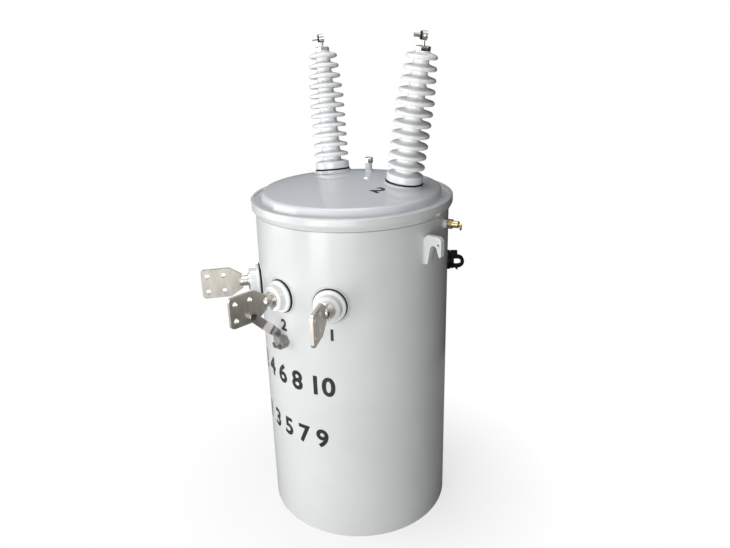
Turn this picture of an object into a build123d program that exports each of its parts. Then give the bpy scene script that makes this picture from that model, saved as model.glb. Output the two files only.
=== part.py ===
from build123d import *
import os
from math import cos, radians, sin, sqrt

# Pole mounted distribution transformer: a round oil tank with a clamped cover, two high voltage bushings on
# the cover, three low voltage bushings on the front, and the fittings welded round its wall. Millimetres,
# +Z up, origin at the centre of the tank's foot. Azimuths are degrees from the front (-Y) towards +X.

# One overrun for every cut, the assembly clearance round studs and the running clearance of the one shaft
OVERRUN = 6.0
CLEAR = 0.3
RUNNING = 0.06

# Tank shell, its recessed bottom and the lip that the cover is clamped to
TANK_R = 265.0
TANK_WALL = 3.0
TANK_H = 935.0
LIP_OUT = 6.0
LIP_H = 7.0
BOTTOM_RECESS = 14.0
BOTTOM_T = 4.0

# Core and coils that stand on the tank's bottom: shares of the tank's radius, headroom and yoke height
CORE_WIDTH_SHARE = 0.83
CORE_DEPTH_SHARE = 0.566
COIL_WIDTH_SHARE = 1.245
COIL_DEPTH_SHARE = 1.094
CORE_HEADROOM = 397.0
CORE_YOKE = 85.0

# Pressed cover: domed disc, sloped shoulder and flat flange
COVER_T = 3.0
COVER_RISE = 22.0
COVER_CROWN = 28.0
COVER_DISC_IN = 22.0
COVER_SHOULDER_IN = 14.0
COVER_FLANGE_OUT = 6.0
COVER_EDGE_FILLET = 6.0

# Clamp ring that wraps the flange and the lip, with two ears and a bolt that draw it tight at the back
RING_PLAY = 2.0
RING_T = 2.5
RING_BEAD_H = 6.0
RING_DEPTH = 34.0
RING_REACH = 1.5
RING_TOP_FILLET = 4.5
RING_FOOT_RISE = 14.0
RING_JOINT_AZ = 235.0
RING_GAP = 10.0
EAR_T = 6.0
EAR_OUT = 30.0
RING_BOLT_R = 5.0
RING_BOLT_HEAD_R = 9.0
RING_BOLT_HEAD_H = 7.0
RING_BOLT_TAIL = 12.0

# High voltage bushings: seats on the domed cover, tilted outwards with it
HV_AZIMUTH = 114.0
HV_IN = 114.1
HV_TILT = 8.4
HV_SEAT_H = 3.7
HV_SEAT_R = 53.0
HV_BORE = 26.0
HV_GASKET_T = 4.0
HV_GASKET_R = 50.0
HV_COLLAR_R = 48.5
HV_COLLAR_H = 19.0
HV_COLLAR_FILLET = 2.5
HV_COLLAR_RISE = 6.0
HV_SHANK_H = 60.0
HV_CORE_BASE_R = 27.5
HV_CORE_TOP_R = 19.0
HV_SHEDS = 11
HV_SHED_FIRST = 40.0
HV_SHED_PITCH = 27.3
HV_SHED_R = 49.0
HV_SHED_TOP_R = 39.5
HV_SHED_FULL = 7
HV_SHED_TIP_R = 4.6
HV_SHED_RISE = 11.0
HV_SHED_UNDER = 5.0
HV_HEAD = 14.0

# High voltage terminals: hexagon cap, stem, round eye and its clamp bolt
HV_CAP_R = 20.0
HV_CAP_H = 11.0
HV_CAP_CHAMFER = 1.5
HV_STEM_R = 3.2
HV_STEM_H = 13.0
HV_EYE_R = 11.0
HV_EYE_L = 13.0
HV_EYE_BORE_R = 4.0
HV_CLAMP_AZ = -44.0
HV_CLAMP_R = 5.2
HV_CLAMP_L = 17.0
HV_WASHER_R = 8.5
HV_WASHER_T = 3.0

# Oil filler on the cover
FILLER_AZ = 196.0
FILLER_IN = 160.0
FILLER_R = 9.5
FILLER_H = 24.0
FILLER_PLUG_R = 12.5
FILLER_PLUG_H = 16.0
FILLER_PLUG_CHAMFER = 2.0

# Low voltage bushings on the front: collar let into the wall, gasket, stepped porcelain, stud with a barrel
LV_AZIMUTHS = (32.6, 0.0, -32.6)
LV_DROP = 216.0
LV_BORE = 19.0
LV_COLLAR_R = 49.0
LV_COLLAR_IN = 1.0
LV_COLLAR_T = 10.0
LV_GASKET_R = 45.5
LV_GASKET_T = 5.0
LV_STEP_R = 43.5
LV_STEP_T = 7.0
LV_NOSE_R = 34.0
LV_NOSE_T = 20.0
LV_EDGE_FILLET = 3.0
LV_SHANK = 30.0
LV_STUD_R = 10.5
LV_STUD_TAIL = 45.0
LV_WASHER_R = 22.0
LV_WASHER_T = 4.0
LV_TANG_W = 7.0
LV_TANG_L = 28.0
LV_BARREL_R = 14.5
LV_BARREL_L = 25.5
LV_BARREL_DOME = 9.0

# Low voltage spades: four-hole pads on a tapered neck that is let into the barrel
SPADE_T = 8.0
SPADE_GRIP = 10.0
SPADE_NECK_H = 40.0
SPADE_NECK_L = 34.0
SPADE_PAD_L = 78.0
SPADE_PAD_H = 83.0
SPADE_CORNER = 11.0
SPADE_HOLE_R = 7.15
SPADE_PITCH = 44.45
SPADE_END = 16.5

# Ground strap from the middle spade to a hexagon boss on the wall
GROUND_AZ = 0.8
GROUND_DROP = 343.0
GROUND_BOSS_R = 19.0
GROUND_BOSS_OUT = 26.0
STRAP_W = 25.0
STRAP_T = 3.0
STRAP_RUN = 80.0
STRAP_TURN = 45.0
STRAP_FOOT = 20.0
STRAP_HOLE_R = 6.5
STRAP_BOLT_R = 6.0
STRAP_BOLT_HEAD_R = 10.5
STRAP_BOLT_HEAD_H = 7.5
STRAP_BOLT_TAIL = 6.0
STRAP_BOLT_DEEP = 16.0

# Lifting lugs on both sides: hooks cut from plate, open downwards
LUG_AZ = 90.0
LUG_T = 12.0
LUG_DROP = 58.0
LUG_OUT = 52.5
LUG_H = 77.0
LUG_TIP_DROP = 51.0
LUG_CORNER = 13.0
LUG_SLOT_R = 11.0
LUG_SLOT_AT = 29.0
LUG_SLOT_DROP = 36.0
LUG_ROOT_W = 10.0
LUG_TIP_W = 8.5
LUG_TOP_CUT = 9.0
LUG_HOLE_R = 3.5
LUG_HOLE_AT = 43.0
LUG_HOLE_DROP = 20.0

# Pole support lugs at the back: channels with a slot open downwards
SUPPORT_AZ = 180.0
SUPPORT_DROP = 140.0
SUPPORT_LIFT = 204.0
SUPPORT_W = 104.0
SUPPORT_H = 110.0
SUPPORT_OUT = 66.0
SUPPORT_T = 7.0
SUPPORT_SLOT_R = 11.0
SUPPORT_SLOT_H = 66.0
SUPPORT_CORNER = 6.0

# Pressure relief valve
RELIEF_AZ = 111.0
RELIEF_DROP = 55.0
RELIEF_BOSS_R = 11.0
RELIEF_BOSS_OUT = 9.0
RELIEF_HEX_R = 13.0
RELIEF_HEX_H = 14.0
RELIEF_BARREL_R = 9.2
RELIEF_BARREL_H = 17.0
RELIEF_BARREL_CHAMFER = 2.0
RELIEF_PIN_R = 2.5
RELIEF_PIN_H = 7.0
RELIEF_RING_R = 6.5
RELIEF_RING_WIRE_R = 1.8

# Tap changer: fixed base on the wall and a D-shaped handle that turns on its shaft
TAP_AZ = 131.0
TAP_DROP = 186.0
TAP_BASE_R = 27.0
TAP_BASE_OUT = 8.0
TAP_GAP = 1.0
TAP_SHAFT_R = 6.0
TAP_SHAFT_TAIL = 30.0
TAP_HUB_R = 24.5
TAP_HUB_H = 8.0
TAP_LOOP_OUT = 46.5
TAP_LOOP_H = 36.0
TAP_LOOP_BAR = 9.5
TAP_LOOP_DROP = 4.5
TAP_LOOP_T = 11.0
TAP_TAB_W = 14.0
TAP_TAB_TOP = 26.0
TAP_TAB_LOW = 12.5
TAP_TAB_OUT = 27.0
TAP_TAB_HOLE_R = 2.2
TAP_POINTER_W = 14.0
TAP_POINTER_OUT = 22.0
TAP_POINTER_L = 12.0

# Heights and radii that several pieces share
tank_in_r = TANK_R - TANK_WALL
flange_z = TANK_H + COVER_T
cover_disc_r = TANK_R - COVER_DISC_IN
cover_edge_z = flange_z + COVER_RISE
cover_top_z = cover_edge_z + COVER_CROWN
dome_r = (cover_disc_r ** 2 + COVER_CROWN ** 2) / (COVER_CROWN * 2)
lip_r = TANK_R + LIP_OUT
ring_in_r = lip_r + RING_PLAY
ring_r = ring_in_r + RING_T
ring_top_z = flange_z + RING_BEAD_H
ring_low_z = ring_top_z - RING_DEPTH
lv_z = TANK_H - LV_DROP
tap_z = TANK_H - TAP_DROP
lv_face = TANK_R - LV_COLLAR_IN
lv_porcelain = lv_face + LV_GASKET_T
lv_nose_end = lv_porcelain + LV_STEP_T + LV_NOSE_T
lv_barrel = lv_nose_end + LV_WASHER_T
lv_stud_end = lv_barrel + LV_BARREL_L
spade_in = lv_stud_end - SPADE_GRIP
spade_end = spade_in + SPADE_NECK_L + SPADE_PAD_L
spade_hole_out = spade_end - SPADE_END
spade_hole_in = spade_hole_out - SPADE_PITCH

nodes = {}


def wall_plane(azimuth, height):
    """Frame on the tank's axis: x along the wall, y up, z outwards at that azimuth."""
    a = radians(azimuth)
    return Plane(origin=(0, 0, height), x_dir=(cos(a), sin(a), 0), z_dir=(sin(a), -cos(a), 0))


def round_bar(radius, low, high):
    """Cylinder on the local z axis from low to high."""
    return Pos(0, 0, low) * Cylinder(radius, high - low, align=(Align.CENTER, Align.CENTER, Align.MIN))


def hexagon(corner_r, low, high):
    """Hexagonal bar on the local z axis from low to high."""
    return Pos(0, 0, low) * extrude(RegularPolygon(corner_r, 6), high - low)


def turned(points):
    """Solid of revolution about the local z axis from (radius, height) points."""
    face = make_face(Polyline([(r, 0, z) for r, z in points], close=True))
    return revolve(face, Axis.Z)


def rim_edges(solid, radius, height):
    """Round edges of that radius lying at that height."""
    edges = solid.edges().filter_by(GeomType.CIRCLE)
    return [e for e in edges if abs(e.radius - radius) < CLEAR and abs(e.arc_center.Z - height) < CLEAR]


def tank_body():
    """The tank's outer cylinder, which shapes the feet of what is welded to it."""
    return round_bar(TANK_R, -OVERRUN, TANK_H + OVERRUN)


def cover_dome():
    """The ball that the cover's dome is part of, which shapes the feet of what stands on it."""
    return Pos(0, 0, cover_top_z - dome_r) * Sphere(dome_r)


def dome_z(r, depth=0.0):
    """Height of the cover's dome at that radius, or of a face that lies so deep under it."""
    return cover_top_z - dome_r + sqrt((dome_r - depth) ** 2 - r ** 2)


# Tank
lip_low = TANK_H - LIP_H
wall = turned([
    (tank_in_r, 0), (TANK_R, 0), (TANK_R, lip_low - LIP_OUT), (lip_r, lip_low), (lip_r, TANK_H),
    (tank_in_r, TANK_H),
])
for azimuth in LV_AZIMUTHS:
    wall -= wall_plane(azimuth, lv_z) * round_bar(LV_COLLAR_R, tank_in_r - LV_COLLAR_R, TANK_R + OVERRUN)
wall -= wall_plane(TAP_AZ, tap_z) * round_bar(TAP_SHAFT_R + CLEAR, tank_in_r - OVERRUN, TANK_R + OVERRUN)
nodes["tank_wall"] = wall
nodes["tank_bottom"] = round_bar(tank_in_r, BOTTOM_RECESS, BOTTOM_RECESS + BOTTOM_T)

# Core and coils
core_foot = BOTTOM_RECESS + BOTTOM_T
standing = (Align.CENTER, Align.CENTER, Align.MIN)
core_h = TANK_H - core_foot - CORE_HEADROOM
coil_h = core_h - CORE_YOKE * 2
core_size = (TANK_R * CORE_WIDTH_SHARE, TANK_R * CORE_DEPTH_SHARE, core_h)
core = Pos(0, 0, core_foot) * Box(*core_size, align=standing)
coil_size = (TANK_R * COIL_WIDTH_SHARE, TANK_R * COIL_DEPTH_SHARE, coil_h)
coils = Pos(0, 0, core_foot + CORE_YOKE) * Box(*coil_size, align=standing)
nodes["core_and_coils"] = core + coils


# High voltage bushings
def hv_plane(side):
    """Frame on a bushing's seat: z along the tilted bushing, x along the cover."""
    a = radians(side * HV_AZIMUTH)
    lean = radians(HV_TILT)
    axis = (sin(a) * sin(lean), -cos(a) * sin(lean), cos(lean))
    reach = TANK_R - HV_IN
    origin = (reach * sin(a), -reach * cos(a), dome_z(reach) + HV_SEAT_H)
    return Plane(origin=origin, x_dir=(cos(a), sin(a), 0), z_dir=axis)


def shed_radius(i):
    """Sheds of full width below, narrowing evenly to the top one."""
    past = max(0, i - (HV_SHED_FULL - 1))
    return HV_SHED_R + (HV_SHED_TOP_R - HV_SHED_R) * past / (HV_SHEDS - HV_SHED_FULL)


hv_base = HV_GASKET_T
hv_top = hv_base + HV_SHED_FIRST + HV_SHED_PITCH * (HV_SHEDS - 1) + HV_HEAD


def core_radius(t):
    """Radius of the tapering porcelain core at height t."""
    share = (t - hv_base) / (hv_top - hv_base)
    return HV_CORE_BASE_R + (HV_CORE_TOP_R - HV_CORE_BASE_R) * share


def hv_porcelain():
    """Glazed bushing: shank through the cover, base collar, tapering core and its sheds."""
    collar_top = hv_base + HV_COLLAR_H
    shank_r = HV_BORE - CLEAR
    outline = [(0, 0, -HV_SHANK_H), (shank_r, 0, -HV_SHANK_H), (shank_r, 0, hv_base)]
    outline += [(HV_COLLAR_R, 0, hv_base), (HV_COLLAR_R, 0, collar_top - HV_COLLAR_FILLET)]
    outline += [(HV_COLLAR_R - HV_COLLAR_FILLET, 0, collar_top)]
    slope_top = collar_top + HV_COLLAR_RISE
    outline += [(core_radius(slope_top), 0, slope_top)]
    path = Polyline(outline)
    last = outline[-1]
    for i in range(HV_SHEDS):
        t = hv_base + HV_SHED_FIRST + i * HV_SHED_PITCH
        rim = shed_radius(i)
        under = (core_radius(t - HV_SHED_UNDER), 0, t - HV_SHED_UNDER)
        low = (rim - HV_SHED_TIP_R, 0, t - HV_SHED_TIP_R)
        tip = (rim, 0, t)
        high = (rim - HV_SHED_TIP_R, 0, t + HV_SHED_TIP_R)
        root = (core_radius(t + HV_SHED_RISE), 0, t + HV_SHED_RISE)
        path += Polyline([last, under, low])
        path += ThreePointArc(low, tip, high)
        path += Line(high, root)
        last = root
    path += Polyline([last, (HV_CORE_TOP_R, 0, hv_top), (0, 0, hv_top), outline[0]])
    return revolve(make_face(path), Axis.Z)


def hv_terminal_plane(side):
    """Frame on top of a bushing's cap, with x along the clamp bolt."""
    seat = hv_plane(side)
    a = radians(HV_CLAMP_AZ)
    top = seat.from_local_coords((0, 0, hv_top + HV_CAP_H))
    return Plane(origin=top, x_dir=(sin(a), -cos(a), 0), z_dir=seat.z_dir)


hv_eye_z = HV_STEM_H + HV_EYE_R - CLEAR
eye_frame = Pos(0, 0, hv_eye_z) * Rot(0, 90, 0)
washer_at = HV_EYE_L / 2
clamp_at = washer_at + HV_WASHER_T
terminal = round_bar(HV_STEM_R, 0, HV_STEM_H + HV_EYE_R / 2)
terminal += eye_frame * round_bar(HV_EYE_R, -HV_EYE_L / 2, HV_EYE_L / 2)
eye_bore = round_bar(HV_EYE_BORE_R, -HV_EYE_R - OVERRUN, HV_EYE_R + OVERRUN)
terminal -= Pos(0, 0, hv_eye_z) * Rot(90, 0, 0) * eye_bore
terminal += eye_frame * round_bar(HV_WASHER_R, washer_at, clamp_at)
terminal += eye_frame * round_bar(HV_CLAMP_R, clamp_at, clamp_at + HV_CLAMP_L)

cap = hexagon(HV_CAP_R, hv_top, hv_top + HV_CAP_H)
cap = chamfer(cap.edges().group_by(Axis.Z)[-1], HV_CAP_CHAMFER)
hv_bore = round_bar(HV_BORE, -HV_SHANK_H, HV_GASKET_T)
hv_gasket = round_bar(HV_GASKET_R, 0, HV_GASKET_T) - hv_bore
porcelain = hv_porcelain()
for number, side in ((1, -1), (2, 1)):
    frame = hv_plane(side)
    seat = frame * (round_bar(HV_SEAT_R, -HV_SEAT_R / 2, 0) - hv_bore)
    nodes[f"hv_seat_{number}"] = seat - cover_dome()
    nodes[f"hv_gasket_{number}"] = frame * hv_gasket
    nodes[f"hv_bushing_{number}"] = frame * porcelain
    nodes[f"hv_cap_{number}"] = frame * cap
    nodes[f"hv_terminal_{number}"] = hv_terminal_plane(side) * terminal

# Cover, pressed from sheet, with holes for the bushings
shoulder_r = TANK_R - COVER_SHOULDER_IN
flange_r = TANK_R + COVER_FLANGE_OUT
slope = COVER_T * (shoulder_r - cover_disc_r) / COVER_RISE
disc_in_r = cover_disc_r - slope
dome_top = (0, 0, cover_top_z)
dome_mid = (cover_disc_r / 2, 0, dome_z(cover_disc_r / 2))
dome_edge = (cover_disc_r, 0, cover_edge_z)
inner_edge = (disc_in_r, 0, dome_z(disc_in_r, COVER_T))
inner_mid = (disc_in_r / 2, 0, dome_z(disc_in_r / 2, COVER_T))
inner_top = (0, 0, cover_top_z - COVER_T)
outline = ThreePointArc(dome_top, dome_mid, dome_edge)
outline += Polyline(
    dome_edge, (shoulder_r, 0, flange_z), (flange_r, 0, flange_z), (flange_r, 0, TANK_H),
    (shoulder_r - slope, 0, TANK_H), inner_edge,
)
outline += ThreePointArc(inner_edge, inner_mid, inner_top)
outline += Line(inner_top, dome_top)
cover = revolve(make_face(outline), Axis.Z)
cover = fillet(rim_edges(cover, cover_disc_r, cover_edge_z), COVER_EDGE_FILLET)
for side in (-1, 1):
    cover -= hv_plane(side) * hv_bore
filler = radians(FILLER_AZ)
filler_reach = TANK_R - FILLER_IN
filler_place = Pos(filler_reach * sin(filler), -filler_reach * cos(filler), dome_z(filler_reach))
nodes["cover"] = cover

# Clamp ring, a channel section split at the back and drawn together by a bolt through two ears
foot_r = TANK_R + CLEAR
reach_r = TANK_R + RING_REACH
foot_turn = ring_low_z + RING_FOOT_RISE
ring = turned([
    (reach_r, flange_z), (reach_r, ring_top_z), (ring_r, ring_top_z), (ring_r, foot_turn),
    (foot_r + RING_T, ring_low_z), (foot_r, ring_low_z), (ring_in_r, foot_turn), (ring_in_r, flange_z),
])
ring = fillet(rim_edges(ring, ring_r, ring_top_z), RING_TOP_FILLET)
joint = wall_plane(RING_JOINT_AZ, ring_low_z)
ear_low = RING_FOOT_RISE
ear_h = RING_DEPTH - RING_FOOT_RISE - RING_TOP_FILLET
gap_cut = Box(RING_GAP, RING_DEPTH + OVERRUN * 2, ring_r, align=(Align.CENTER, Align.MIN, Align.MIN))
ring -= joint * Pos(0, -OVERRUN, TANK_R - LIP_OUT) * gap_cut
bolt_at = ring_r + EAR_OUT / 2
for side in (-1, 1):
    ear = Box(EAR_T, ear_h, EAR_OUT + RING_T, align=(Align.CENTER, Align.MIN, Align.MIN))
    ear = Pos(side * (RING_GAP + EAR_T) / 2, ear_low, ring_in_r) * ear
    across = Pos(0, ear_low + ear_h / 2, bolt_at) * Rot(0, 90, 0)
    ear -= across * round_bar(RING_BOLT_R + CLEAR, -ring_r, ring_r)
    ring += joint * ear
nodes["cover_clamp_ring"] = ring
grip = RING_GAP / 2 + EAR_T
ring_bolt = across * round_bar(RING_BOLT_R, -grip, grip + RING_BOLT_TAIL)
ring_bolt += across * hexagon(RING_BOLT_HEAD_R, -grip - RING_BOLT_HEAD_H, -grip)
ring_bolt += across * hexagon(RING_BOLT_HEAD_R, grip, grip + RING_BOLT_HEAD_H)
nodes["clamp_ring_bolt"] = joint * ring_bolt

# Filler stub and its plug
nodes["filler_stub"] = filler_place * round_bar(FILLER_R, -FILLER_R, FILLER_H) - cover_dome()
plug = hexagon(FILLER_PLUG_R, FILLER_H, FILLER_H + FILLER_PLUG_H)
nodes["filler_plug"] = filler_place * chamfer(plug.edges().group_by(Axis.Z)[-1], FILLER_PLUG_CHAMFER)


# Low voltage bushings with their spades
def lv_spade():
    """Flat pad in the upright plane through the bushing, its neck cut out round the stud's barrel."""
    pad_in = spade_in + SPADE_NECK_L
    neck = SPADE_NECK_H / 2
    half = SPADE_PAD_H / 2
    outline = [
        (spade_in, -neck), (pad_in, -half), (spade_end, -half), (spade_end, half), (pad_in, half),
        (spade_in, neck),
    ]
    pad = extrude(make_face(Polyline([(0, v, u) for u, v in outline], close=True)), SPADE_T / 2, both=True)
    corners = [e for e in pad.edges().filter_by(Axis.X) if abs(e.center().Z - spade_end) < CLEAR]
    pad = fillet(corners, SPADE_CORNER)
    for at in (spade_hole_in, spade_hole_out):
        for up in (-SPADE_PITCH / 2, SPADE_PITCH / 2):
            hole = round_bar(SPADE_HOLE_R, -SPADE_T, SPADE_T)
            pad -= Pos(0, up, at) * Rot(0, 90, 0) * hole
    return pad - lv_barrel_body()


def lv_barrel_body():
    """Round barrel on the stud with a domed end."""
    barrel = round_bar(LV_BARREL_R, lv_barrel, lv_stud_end)
    return fillet(rim_edges(barrel, LV_BARREL_R, lv_stud_end), LV_BARREL_DOME)


lv_bore = round_bar(LV_BORE, 0, lv_porcelain)
lv_collar = round_bar(LV_COLLAR_R, lv_face - LV_COLLAR_T, lv_face) - lv_bore
lv_gasket = round_bar(LV_GASKET_R, lv_face, lv_porcelain) - lv_bore
step_end = lv_porcelain + LV_STEP_T
bore_r = LV_STUD_R + CLEAR
shank_in = tank_in_r - LV_SHANK
lv_body = turned([
    (bore_r, shank_in), (LV_BORE - CLEAR, shank_in), (LV_BORE - CLEAR, lv_porcelain),
    (LV_STEP_R, lv_porcelain), (LV_STEP_R, step_end), (LV_NOSE_R, step_end), (LV_NOSE_R, lv_nose_end),
    (bore_r, lv_nose_end),
])
lv_edges = rim_edges(lv_body, LV_STEP_R, step_end) + rim_edges(lv_body, LV_NOSE_R, lv_nose_end)
lv_body = fillet(lv_edges, LV_EDGE_FILLET)
tang = Box(LV_TANG_W, LV_TANG_L, LV_WASHER_T, align=(Align.CENTER, Align.MAX, Align.MIN))
lv_stud = round_bar(LV_STUD_R, tank_in_r - LV_STUD_TAIL, lv_barrel) + lv_barrel_body()
lv_stud += round_bar(LV_WASHER_R, lv_nose_end, lv_barrel) + Pos(0, 0, lv_nose_end) * tang
spade = lv_spade()
for number, azimuth in enumerate(LV_AZIMUTHS, 1):
    frame = wall_plane(azimuth, lv_z)
    nodes[f"lv_collar_{number}"] = frame * lv_collar
    nodes[f"lv_gasket_{number}"] = frame * lv_gasket
    nodes[f"lv_bushing_{number}"] = frame * lv_body
    nodes[f"lv_stud_{number}"] = frame * lv_stud
    nodes[f"lv_spade_{number}"] = frame * spade

# Ground boss, strap and bolts
ground = wall_plane(GROUND_AZ, TANK_H - GROUND_DROP)
boss_face = TANK_R + GROUND_BOSS_OUT
boss = hexagon(GROUND_BOSS_R, TANK_R - GROUND_BOSS_R, boss_face)
boss -= round_bar(STRAP_BOLT_R + CLEAR, boss_face - STRAP_BOLT_DEEP - CLEAR, boss_face + OVERRUN)
nodes["ground_boss"] = ground * boss - tank_body()

middle = wall_plane(LV_AZIMUTHS[1], lv_z)
turn = radians(STRAP_TURN)
run_start = middle.from_local_coords((SPADE_T / 2, -SPADE_PITCH / 2, spade_hole_in))
run_dir = middle.z_dir * -cos(turn) + middle.y_dir * -sin(turn)
run_plane = Plane(origin=run_start, x_dir=run_dir, z_dir=middle.x_dir)
strap_end = Circle(STRAP_W / 2) - Circle(STRAP_HOLE_R)
run = Rectangle(STRAP_RUN, STRAP_W, align=(Align.MIN, Align.CENTER)) - Circle(STRAP_HOLE_R) + strap_end
upper_leg = run_plane * extrude(run, STRAP_T)
foot_plate = Rectangle(STRAP_W, STRAP_FOOT, align=(Align.CENTER, Align.MIN)) - Circle(STRAP_HOLE_R)
foot_plate += strap_end
lower_leg = ground * Pos(0, 0, boss_face) * extrude(foot_plate, STRAP_T)
half_w = STRAP_W / 2
section = ((half_w, 0), (half_w, STRAP_T), (-half_w, STRAP_T), (-half_w, 0))
upper_edge = [run_plane.from_local_coords((STRAP_RUN, w, d)) for w, d in section]
lower_edge = [ground.from_local_coords((w, STRAP_FOOT, boss_face + d)) for w, d in section]
ends = [Wire(Polyline(edge, close=True)) for edge in (upper_edge, lower_edge)]
nodes["ground_strap"] = upper_leg + Solid.make_loft(ends, ruled=True) + lower_leg
upper_bolt = round_bar(STRAP_BOLT_R, -SPADE_T, STRAP_T)
upper_bolt += hexagon(STRAP_BOLT_HEAD_R, STRAP_T, STRAP_T + STRAP_BOLT_HEAD_H)
upper_bolt += hexagon(STRAP_BOLT_HEAD_R, -SPADE_T - STRAP_BOLT_HEAD_H, -SPADE_T)
upper_bolt += round_bar(STRAP_BOLT_R, -SPADE_T - STRAP_BOLT_HEAD_H - STRAP_BOLT_TAIL, -SPADE_T)
lower_bolt = round_bar(STRAP_BOLT_R, boss_face - STRAP_BOLT_DEEP, boss_face + STRAP_T)
lower_bolt += hexagon(STRAP_BOLT_HEAD_R, boss_face + STRAP_T, boss_face + STRAP_T + STRAP_BOLT_HEAD_H)
nodes["strap_bolt_upper"] = run_plane * upper_bolt
nodes["strap_bolt_lower"] = ground * lower_bolt


# Lifting lugs
def lifting_lug():
    """Hook in the upright plane through the tank's axis, drawn out from the wall and down from its top."""
    arc_mid = LUG_CORNER * (1 - sin(radians(45)))
    tip_turn = LUG_TIP_W / 2 - LUG_TIP_DROP

    def at(u, v):
        return (0, v, TANK_R + u)

    slot_left = at(LUG_SLOT_AT - LUG_SLOT_R, -LUG_SLOT_DROP)
    slot_top = at(LUG_SLOT_AT, LUG_SLOT_R - LUG_SLOT_DROP)
    slot_right = at(LUG_SLOT_AT + LUG_SLOT_R, -LUG_SLOT_DROP)
    tip_in = at(LUG_OUT - LUG_TIP_W, tip_turn)
    tip_low = at(LUG_OUT - LUG_TIP_W / 2, -LUG_TIP_DROP)
    tip_out = at(LUG_OUT, tip_turn)
    corner_low = at(LUG_OUT, -LUG_CORNER)
    corner_mid = at(LUG_OUT - arc_mid, -arc_mid)
    corner_top = at(LUG_OUT - LUG_CORNER, 0)
    foot_in = at(-LUG_SLOT_R, -LUG_H)
    outline = Polyline(foot_in, at(LUG_ROOT_W, -LUG_H), slot_left)
    outline += ThreePointArc(slot_left, slot_top, slot_right)
    outline += Line(slot_right, tip_in)
    outline += ThreePointArc(tip_in, tip_low, tip_out)
    outline += Line(tip_out, corner_low)
    outline += ThreePointArc(corner_low, corner_mid, corner_top)
    back_top = at(-LUG_SLOT_R, -LUG_TOP_CUT)
    outline += Polyline(corner_top, at(LUG_TOP_CUT, 0), at(0, -LUG_TOP_CUT), back_top, foot_in)
    plate = extrude(make_face(outline), LUG_T / 2, both=True)
    hole = round_bar(LUG_HOLE_R, -LUG_T, LUG_T)
    return plate - Pos(0, -LUG_HOLE_DROP, TANK_R + LUG_HOLE_AT) * Rot(0, 90, 0) * hole


lug = lifting_lug()
for name, azimuth in (("lifting_lug_right", LUG_AZ), ("lifting_lug_left", -LUG_AZ)):
    nodes[name] = wall_plane(azimuth, TANK_H - LUG_DROP) * lug - tank_body()

# Pole support lugs
face_out = TANK_R + SUPPORT_OUT
inwards = (Align.CENTER, Align.CENTER, Align.MAX)
channel_d = SUPPORT_OUT + SUPPORT_W
outer = Pos(0, 0, face_out) * Box(SUPPORT_W, SUPPORT_H, channel_d, align=inwards)
outer = fillet(outer.edges().filter_by(Axis.Y).group_by(Axis.Z)[-1], SUPPORT_CORNER)
hollow = Box(SUPPORT_W - SUPPORT_T * 2, SUPPORT_H + OVERRUN * 2, channel_d + OVERRUN, align=inwards)
channel = outer - Pos(0, 0, face_out - SUPPORT_T) * hollow
slot_half = SUPPORT_T / 2 + OVERRUN
slot = Box(SUPPORT_SLOT_R * 2, SUPPORT_SLOT_H, slot_half * 2, align=(Align.CENTER, Align.MIN, Align.CENTER))
slot += Pos(0, SUPPORT_SLOT_H, 0) * round_bar(SUPPORT_SLOT_R, -slot_half, slot_half)
channel -= Pos(0, -SUPPORT_H / 2, face_out - SUPPORT_T / 2) * slot
for name, height in (("support_lug_upper", TANK_H - SUPPORT_DROP), ("support_lug_lower", SUPPORT_LIFT)):
    nodes[name] = wall_plane(SUPPORT_AZ, height) * channel - tank_body()

# Pressure relief valve on its weld boss, with its pull ring
relief = wall_plane(RELIEF_AZ, TANK_H - RELIEF_DROP)
boss_end = TANK_R + RELIEF_BOSS_OUT
hex_end = boss_end + RELIEF_HEX_H
barrel_end = hex_end + RELIEF_BARREL_H
nodes["relief_boss"] = relief * round_bar(RELIEF_BOSS_R, TANK_R - RELIEF_BOSS_R, boss_end) - tank_body()
barrel = round_bar(RELIEF_BARREL_R, hex_end, barrel_end)
barrel = chamfer(barrel.edges().group_by(Axis.Z)[-1], RELIEF_BARREL_CHAMFER)
pin_end = barrel_end + RELIEF_PIN_H
valve = hexagon(RELIEF_HEX_R, boss_end, hex_end) + barrel + round_bar(RELIEF_PIN_R, barrel_end, pin_end)
valve += Pos(0, -RELIEF_RING_R, pin_end - RELIEF_PIN_R) * Torus(RELIEF_RING_R, RELIEF_RING_WIRE_R)
nodes["relief_valve"] = relief * valve

# Tap changer
tap = wall_plane(TAP_AZ, tap_z)
base_end = TANK_R + TAP_BASE_OUT
tap_base = round_bar(TAP_BASE_R, TANK_R - TAP_BASE_R, base_end)
tap_base -= round_bar(TAP_SHAFT_R + RUNNING, 0, base_end + OVERRUN)
nodes["tap_base"] = tap * tap_base - tank_body()

hub_low = base_end + TAP_GAP
hub_end = hub_low + TAP_HUB_H
loop_end = TANK_R + TAP_LOOP_OUT
handle = round_bar(TAP_SHAFT_R, tank_in_r - TAP_SHAFT_TAIL, hub_end) + round_bar(TAP_HUB_R, hub_low, hub_end)
loop_half = TAP_LOOP_H / 2
bow_at = loop_end - loop_half
in_half = loop_half - TAP_LOOP_BAR


def d_shape(half, low):
    """D outline in the upright plane through the shaft: straight sides from low and a round end."""
    outline = Polyline((0, half, bow_at), (0, half, low), (0, -half, low), (0, -half, bow_at))
    outline += ThreePointArc((0, -half, bow_at), (0, 0, bow_at + half), (0, half, bow_at))
    return make_face(outline)


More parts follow.
